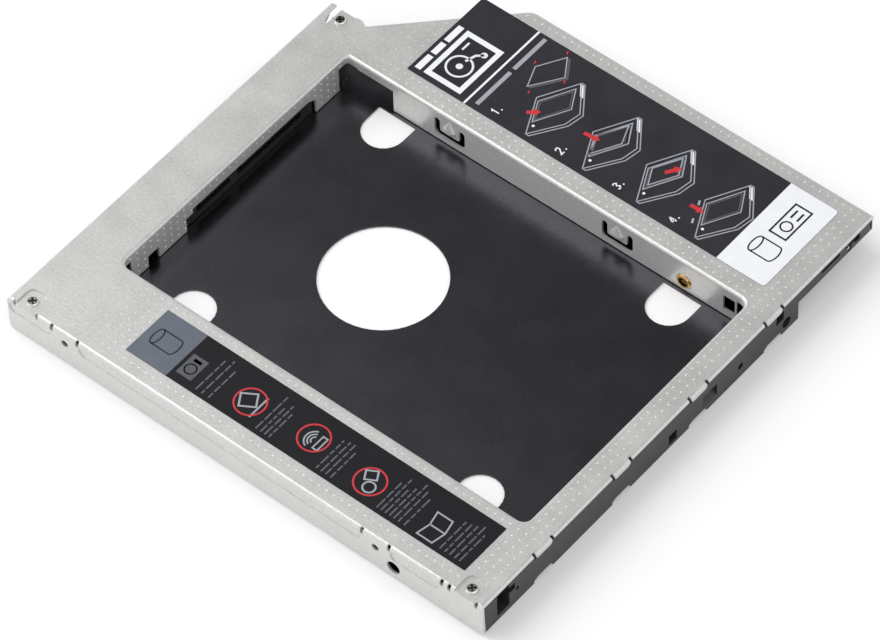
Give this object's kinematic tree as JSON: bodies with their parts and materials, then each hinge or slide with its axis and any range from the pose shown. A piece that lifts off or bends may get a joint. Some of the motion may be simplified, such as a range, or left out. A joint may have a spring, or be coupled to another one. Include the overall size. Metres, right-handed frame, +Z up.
{
  "type": "drive mounting frame",
  "caption": "Slim-bay frame with a folded steel cover around an open bay that holds a 2.5 inch drive, a thin base and a rear connector.",
  "frame": {"origin": "middle of the underside, on the plane the frame lies on", "axes": "+X to the wing side, +Y to the connector edge at the rear, +Z up out of the open bay"},
  "size_m": [0.128, 0.1262, 0.0096],
  "materials": {
    "plated_steel": "satin plated sheet with small pressed dots",
    "black_steel": "semi-gloss black coating",
    "black_moulding": "fine moulded satin",
    "screw_steel": "bright plated",
    "brass": "turned",
    "board": "lacquered laminate",
    "film": "thin film",
    "connector_plastic": "moulded",
    "capacitor_ceramic": "fired",
    "dark_label": "printed film"
  },
  "bodies": {
    "root": {"top_cover": "plated_steel", "base_plate": "black_steel", "front_bar": "black_moulding", "cover_screw_front_left": "screw_steel", "cover_screw_rear_left": "screw_steel", "cover_screw_rear_right": "screw_steel", "post_rear_left": "screw_steel", "post_rear_right": "screw_steel", "threaded_bush": "brass", "circuit_board": "board", "insulating_film": "film", "drive_connector": "connector_plastic", "host_connector": "connector_plastic", "capacitor_1": "capacitor_ceramic", "capacitor_2": "capacitor_ceramic", "capacitor_3": "capacitor_ceramic", "capacitor_4": "capacitor_ceramic", "board_screw_left": "screw_steel", "board_screw_right": "screw_steel", "bar_screw_left": "screw_steel", "bar_screw_right": "screw_steel", "side_label": "dark_label", "wing_label": "dark_label"}
  },
  "joints": []
}
